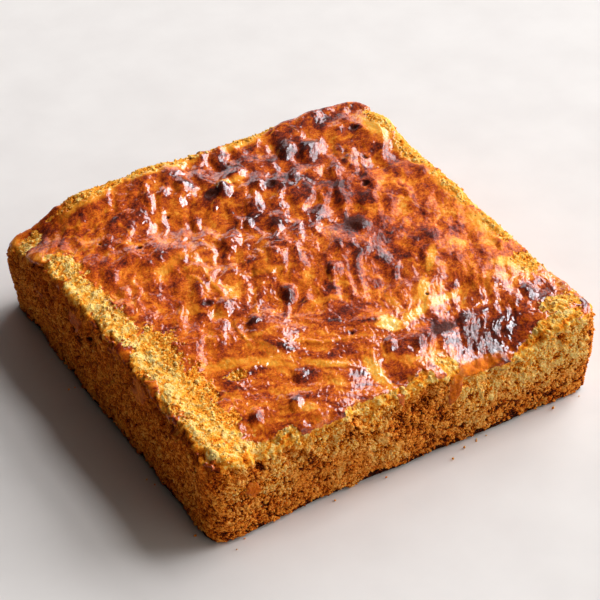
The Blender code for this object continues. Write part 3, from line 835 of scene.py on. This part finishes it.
def bed_grains(surface, normals, values, rings, material):
    """Grains half sunk in the bare crumb of the sides and the worn rim."""
    rng = np.random.default_rng(2024)
    height = surface[:, 2] * MM
    crumb = (values["glaze"] < 0.35) & (height > 0.5) & (normals[:, 2] > -0.75) & (values["gap_shade_and_tone"] < 0.70)
    places = np.flatnonzero(crumb)
    pick = rng.choice(places, 16500, replace=False)
    radii = np.clip(np.exp(rng.normal(math.log(0.31), 0.34, len(pick))), 0.18, 0.8) / MM
    out = normals[pick] + rng.normal(size=(len(pick), 3)) * 0.15
    out /= np.linalg.norm(out, axis=1, keepdims=True)
    centres = surface[pick] + out * (radii * rng.uniform(-0.60, 0.20, len(pick)))[:, None]
    ok = centres[:, 2] > radii * 0.9
    pick, radii, out, centres = pick[ok], radii[ok], out[ok], centres[ok]
    return grains("crumb_grains", centres, out, radii, values["toast_and_shade"][pick], values["gap_shade_and_tone"][pick], 11,
                  material, coarse=0.00042)


def fallen_grains(material):
    """A few crumbs that have dropped off at the foot."""
    rng = np.random.default_rng(31)
    spots_at = []
    for side, count in ((0, 12), (1, 7), (2, 5), (3, 6)):
        for _ in range(count):
            along = rng.uniform(-0.060, 0.060)
            off = HALF + 0.0004 + 0.0035 * rng.random() ** 2
            spots_at.append(((along, -off), (off, along), (along, off), (-off, along))[side])
    at = np.array(spots_at)
    radii = np.clip(np.exp(rng.normal(math.log(0.30), 0.35, len(at))), 0.16, 0.6) / MM
    centres = np.stack([at[:, 0], at[:, 1], radii], 1)
    up = np.tile([0.0, 0.0, 1.0], (len(at), 1))
    return grains("fallen_crumbs", centres, up, radii, np.full(len(at), 0.25), np.full(len(at), 0.35), 12,
                  material, coarse=0.0001, floor_at=0.00002)


# ------------------------------------------------------------------ materials
class Graph:
    """Small helper to write node graphs in few lines."""

    def __init__(self, name):
        self.mat = bpy.data.materials.new(name)
        self.mat.use_nodes = True
        self.nt = self.mat.node_tree
        self.nt.nodes.clear()
        self.out = self.nt.nodes.new("ShaderNodeOutputMaterial")
        self.coord = self.nt.nodes.new("ShaderNodeTexCoord")

    def new(self, kind, **props):
        n = self.nt.nodes.new(kind)
        for k, v in props.items():
            setattr(n, k, v)
        return n

    def put(self, socket, value):
        if isinstance(value, bpy.types.NodeSocket):
            self.nt.links.new(value, socket)
        elif value is not None:
            socket.default_value = value

    def math(self, op, a, b=None, c=None, clamp=False):
        n = self.new("ShaderNodeMath", operation=op, use_clamp=clamp)
        self.put(n.inputs[0], a)
        self.put(n.inputs[1], b)
        if c is not None:
            self.put(n.inputs[2], c)
        return n.outputs[0]

    def attr(self, name):
        return self.new("ShaderNodeAttribute", attribute_name=name).outputs["Fac"]

    def place(self, scale=1.0, squash=(1, 1, 1)):
        n = self.new("ShaderNodeVectorMath", operation="MULTIPLY")
        self.put(n.inputs[0], self.coord.outputs["Object"])
        n.inputs[1].default_value = tuple(MM * scale * s for s in squash)
        return n.outputs[0]

    def noise(self, scale, detail=3.0, rough=0.6, distortion=0.0, squash=(1, 1, 1), shift=0.0, turn=0.0):
        n = self.new("ShaderNodeTexNoise")
        if turn:
            r = self.new("ShaderNodeVectorRotate", rotation_type="Z_AXIS")
            self.put(r.inputs["Vector"], self.coord.outputs["Object"])
            r.inputs["Angle"].default_value = -turn
            m = self.new("ShaderNodeVectorMath", operation="MULTIPLY")
            self.put(m.inputs[0], r.outputs[0])
            m.inputs[1].default_value = tuple(MM * k for k in squash)
            v = m.outputs[0]
        else:
            v = self.place(1.0, squash)
        if shift:
            m = self.new("ShaderNodeVectorMath", operation="ADD")
            self.put(m.inputs[0], v)
            m.inputs[1].default_value = (shift, shift * 1.7, -shift)
            v = m.outputs[0]
        self.put(n.inputs["Vector"], v)
        n.inputs["Scale"].default_value = scale
        n.inputs["Detail"].default_value = detail
        n.inputs["Roughness"].default_value = rough
        n.inputs["Distortion"].default_value = distortion
        return n.outputs["Fac"]

    def cells(self, scale, feature="F1", shift=0.0):
        n = self.new("ShaderNodeTexVoronoi", feature=feature)
        v = self.place(1.0)
        if shift:
            m = self.new("ShaderNodeVectorMath", operation="ADD")
            self.put(m.inputs[0], v)
            m.inputs[1].default_value = (shift, shift * 1.7, -shift)
            v = m.outputs[0]
        self.put(n.inputs["Vector"], v)
        n.inputs["Scale"].default_value = scale
        return n.outputs["Distance"]

    def ramp(self, fac, stops):
        n = self.new("ShaderNodeValToRGB")
        cr = n.color_ramp
        while len(cr.elements) > 1:
            cr.elements.remove(cr.elements[-1])
        cr.elements[0].position = stops[0][0]
        cr.elements[0].color = (*stops[0][1], 1.0)
        for pos, col in stops[1:]:
            e = cr.elements.new(pos)
            e.color = (*col, 1.0)
        self.put(n.inputs["Fac"], fac)
        return n.outputs["Color"]

    def step(self, value, low, high):
        n = self.new("ShaderNodeMapRange", interpolation_type="SMOOTHSTEP")
        self.put(n.inputs["Value"], value)
        n.inputs["From Min"].default_value = low
        n.inputs["From Max"].default_value = high
        return n.outputs["Result"]

    def blend(self, fac, a, b, mode="MIX"):
        n = self.new("ShaderNodeMix", data_type="RGBA", blend_type=mode)
        self.put(n.inputs["Factor"], fac)
        self.put(n.inputs[6], a if isinstance(a, bpy.types.NodeSocket) else (*a, 1.0))
        self.put(n.inputs[7], b if isinstance(b, bpy.types.NodeSocket) else (*b, 1.0))
        return n.outputs[2]

    def lerp(self, fac, a, b):
        n = self.new("ShaderNodeMix", data_type="FLOAT")
        self.put(n.inputs[0], fac)
        self.put(n.inputs[2], a)
        self.put(n.inputs[3], b)
        return n.outputs[0]

    def vary(self, base, noise, amount):
        """base + (noise - 0.5) * amount"""
        return self.math("MULTIPLY_ADD", self.math("SUBTRACT", noise, 0.5), amount, base)


def crust_material():
    g = Graph("baked_crust")
    fine = g.noise(1.7, 4.0, 0.68)
    speck = g.noise(3.6, 2.0, 0.6, shift=11.0)
    mid = g.noise(0.62, 3.0, 0.6, shift=5.0)
    # thin cracks and wrinkles of the skin, longer one way
    web = g.noise(0.95, 3.0, 0.62, distortion=1.2, squash=(0.55, 1, 1), shift=31.0, turn=BLISTER_TURN)
    crack = g.step(g.math("ABSOLUTE", g.math("SUBTRACT", web, 0.5)), 0.040, 0.0)

    # glazed skin, from golden through caramel to burnt
    tone = g.vary(g.vary(g.vary(g.attr("tone"), fine, 0.86), mid, 0.52), speck, 0.22)
    # the cracks drawn a little darker: painted shade in the creases
    tone = g.math("MULTIPLY_ADD", crack, 0.13, tone)
    skin = g.ramp(tone, (
        (0.00, (0.960, 0.430, 0.065)),
        (0.18, (0.900, 0.280, 0.022)),
        (0.34, (0.780, 0.172, 0.008)),
        (0.50, (0.590, 0.096, 0.004)),
        (0.64, (0.390, 0.046, 0.003)),
        (0.78, (0.215, 0.020, 0.003)),
        (0.90, (0.110, 0.011, 0.003)),
        (1.00, (0.060, 0.008, 0.004)),
    ))
    gold = g.step(g.vary(g.vary(g.attr("gold"), fine, 0.80), speck, 0.45), 0.25, 1.0)
    skin = g.blend(gold, skin, g.ramp(g.vary(fine, g.attr("gold"), 0.45), (
        (0.38, (1.000, 0.270, 0.005)), (0.62, (1.000, 0.390, 0.026)), (0.90, (1.000, 0.640, 0.175)))))
    # burnt spots, and burst holes darkened as painted shade
    burnt_and_hole_shade = g.step(g.vary(g.attr("burnt_and_hole_shade"), fine, 0.6), 0.25, 0.95)
    skin = g.blend(burnt_and_hole_shade, skin, g.ramp(speck, ((0.35, (0.032, 0.006, 0.004)),
                                               (0.70, (0.110, 0.020, 0.008)))))
    # where it ran over the rim it is thick, smooth and amber
    smear = g.math("MULTIPLY", g.step(g.vary(g.attr("smear"), fine, 0.6), 0.15, 0.95), 0.85)
    skin = g.blend(smear, skin, g.ramp(g.vary(mid, speck, 0.5), ((0.33, (0.430, 0.074, 0.002)),
                                                                 (0.67, (0.800, 0.210, 0.006)))))

    # crumb, from the tips of the grains to the gaps between them; the gaps are darker as painted shade
    gap_shade_and_tone = g.vary(g.vary(0.0, fine, 1.00), speck, 1.60)
    # pale specks on the crumb: partly pale grain tips, partly painted glints
    gap_shade_and_tone = g.math("MULTIPLY_ADD", g.step(speck, 0.60, 0.72), -0.25, gap_shade_and_tone)
    gap_shade_and_tone = g.math("MULTIPLY_ADD", gap_shade_and_tone, g.attr("shade"), g.attr("gap_shade_and_tone"))
    pale = g.ramp(gap_shade_and_tone, (
        (0.00, (1.000, 0.690, 0.240)),
        (0.20, (1.000, 0.480, 0.064)),
        (0.48, (1.000, 0.315, 0.018)),
        (0.72, (0.720, 0.140, 0.003)),
        (0.95, (0.170, 0.018, 0.001)),
    ))
    baked = g.ramp(gap_shade_and_tone, (
        (0.00, (1.000, 0.400, 0.060)),
        (0.22, (0.880, 0.240, 0.019)),
        (0.50, (0.600, 0.108, 0.004)),
        (0.72, (0.310, 0.040, 0.002)),
        (0.92, (0.085, 0.009, 0.001)),
        (1.00, (0.030, 0.006, 0.002)),
    ))
    toast_and_shade = g.step(g.vary(g.vary(g.attr("toast_and_shade"), mid, 0.6), fine, 0.5), 0.10, 0.95)
    crumb = g.blend(toast_and_shade, pale, baked)

    glaze = g.step(g.vary(g.vary(g.attr("glaze"), fine, 0.8), speck, 0.4), 0.30, 0.70)
    colour = g.blend(glaze, crumb, skin)

    rough = g.lerp(glaze, g.vary(0.80, speck, 0.3), g.vary(0.55, fine, 0.20))
    coat = g.math("MULTIPLY", glaze, g.attr("gloss"))
    # thin dull lines in the shine, all running one way
    hair = g.noise(1.5, 3.0, 0.62, distortion=0.5, squash=(0.17, 1, 1), shift=41.0, turn=BLISTER_TURN)
    coat = g.math("MULTIPLY", coat, g.math("MULTIPLY_ADD", crack, -0.50, 1.0))
    coat = g.math("MULTIPLY", coat, g.math("MULTIPLY_ADD", g.step(hair, 0.39, 0.52), 0.80, 0.20))
    coat = g.math("MULTIPLY", coat, g.vary(1.0, speck, 0.6), clamp=True)

    # relief too fine for the mesh
    wrinkle = g.noise(1.5, 3.0, 0.60, distortion=0.8, shift=21.0)
    wrinkle = g.math("MULTIPLY_ADD", crack, -0.14, g.math("MULTIPLY", wrinkle, 0.18))
    wrinkle = g.math("MULTIPLY_ADD", hair, 0.30, wrinkle)
    grains_h = g.math("MULTIPLY", g.cells(2.1, shift=7.0), 0.55)
    grit = g.noise(2.6, 3.0, 0.7, shift=9.0)
    crumb_h = g.math("SUBTRACT", g.math("MULTIPLY", grit, 1.5), grains_h)
    height = g.lerp(glaze, g.math("MULTIPLY", crumb_h, 1.7), wrinkle)
    bump = g.new("ShaderNodeBump")
    bump.inputs["Strength"].default_value = 0.9
    bump.inputs["Distance"].default_value = 0.00022
    g.put(bump.inputs["Height"], height)

    shader = g.new("ShaderNodeBsdfPrincipled")
    g.put(shader.inputs["Base Color"], colour)
    g.put(shader.inputs["Roughness"], rough)
    g.put(shader.inputs["Normal"], bump.outputs["Normal"])
    g.put(shader.inputs["Coat Weight"], coat)
    shader.inputs["Coat Roughness"].default_value = 0.075
    shader.inputs["Specular IOR Level"].default_value = 0.05
    shader.inputs["Coat IOR"].default_value = 1.75
    shader.inputs["IOR"].default_value = 1.45
    shader.inputs["Subsurface Weight"].default_value = 0.25
    shader.inputs["Subsurface Radius"].default_value = (1.0, 0.60, 0.35)
    shader.inputs["Subsurface Scale"].default_value = 0.0003
    g.nt.links.new(shader.outputs["BSDF"], g.out.inputs["Surface"])
    return g.mat


def floor_material():
    g = Graph("pale_floor")
    grain = g.noise(0.05, 3.0, 0.5)
    colour = g.ramp(grain, ((0.3, (0.700, 0.640, 0.585)), (0.7, (0.740, 0.680, 0.622))))
    shader = g.new("ShaderNodeBsdfPrincipled")
    g.put(shader.inputs["Base Color"], colour)
    shader.inputs["Roughness"].default_value = 0.95
    shader.inputs["Specular IOR Level"].default_value = 0.1
    g.nt.links.new(shader.outputs["BSDF"], g.out.inputs["Surface"])
    return g.mat


# ------------------------------------------------------------------ build
crust = crust_material()
pieces, surface, surface_normals, surface_values, rings = build_cake(crust)
pieces.append(bed_grains(surface, surface_normals, surface_values, rings, crust))
pieces.append(fallen_grains(crust))
for piece in pieces:
    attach(piece, "root")
    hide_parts("cake")


# ------------------------------------------------------------------ stage
def direction(azimuth, elevation):
    a, e = math.radians(azimuth), math.radians(elevation)
    return np.array([math.cos(a) * math.cos(e), math.sin(a) * math.cos(e), math.sin(e)])


def softbox(name, azimuth, elevation, distance, wide, tall, radiance, colour=(1, 1, 1)):
    """A soft panel that faces the cake; azimuth runs from +X towards +Y."""
    from mathutils import Matrix, Vector
    data = bpy.data.lights.new(name, "AREA")
    data.shape = "RECTANGLE"
    data.size = wide
    data.size_y = tall
    data.color = colour
    data.energy = radiance * math.pi * wide * tall
    ob = bpy.data.objects.new(name, data)
    bpy.context.scene.collection.objects.link(ob)
    d = Vector(direction(azimuth, elevation))
    right = Vector((0, 0, 1)).cross(d).normalized()
    up = d.cross(right)
    m = Matrix((right, up, d)).transposed().to_4x4()
    m.translation = d * distance
    ob.matrix_world = m
    return ob


bpy.ops.mesh.primitive_plane_add(size=6.0, location=(0, 0, -0.00005))
floor = bpy.context.object
floor.name = "floor"
floor.data.materials.append(floor_material())

softbox("window", 7.0, 28.0, 3.4, 4.70, 2.50, 6.8, (0.94, 0.985, 1.06))
softbox("high_panel", 1.5, 58.0, 3.2, 1.41, 0.73, 13.5, (0.94, 0.985, 1.06))
softbox("rear_window", 64.0, 15.0, 3.6, 2.20, 1.25, 1.4, (0.95, 0.97, 1.05))
softbox("fill", -70.0, 28.0, 3.4, 3.80, 2.30, 1.38, (1.02, 0.98, 0.93))

world = bpy.data.worlds.new("room")
bpy.context.scene.world = world
world.use_nodes = True
world.node_tree.nodes["Background"].inputs["Color"].default_value = (1.0, 0.96, 0.93, 1.0)
world.node_tree.nodes["Background"].inputs["Strength"].default_value = 0.015

cam_data = bpy.data.cameras.new("camera")
cam = bpy.data.objects.new("camera", cam_data)
bpy.context.scene.collection.objects.link(cam)
bpy.context.scene.camera = cam
cam_data.sensor_fit = "HORIZONTAL"
cam_data.sensor_width = 36.0
cam_data.lens = 114.0
cam_data.clip_start = 0.01
CAM_AZ, CAM_EL, CAM_DIST = -31.6, 37.3, 0.563
TARGET = np.array([0.0043, 0.0028, 0.0127])
a, e = math.radians(CAM_AZ), math.radians(CAM_EL)
back = np.array([math.sin(a) * math.cos(e), -math.cos(a) * math.cos(e), math.sin(e)])
cam.location = (TARGET + back * CAM_DIST).tolist()
cam.rotation_euler = (math.radians(90 - CAM_EL), 0.0, a)

bpy.context.scene.view_settings.view_transform = "Standard"
bpy.context.scene.view_settings.look = "None"
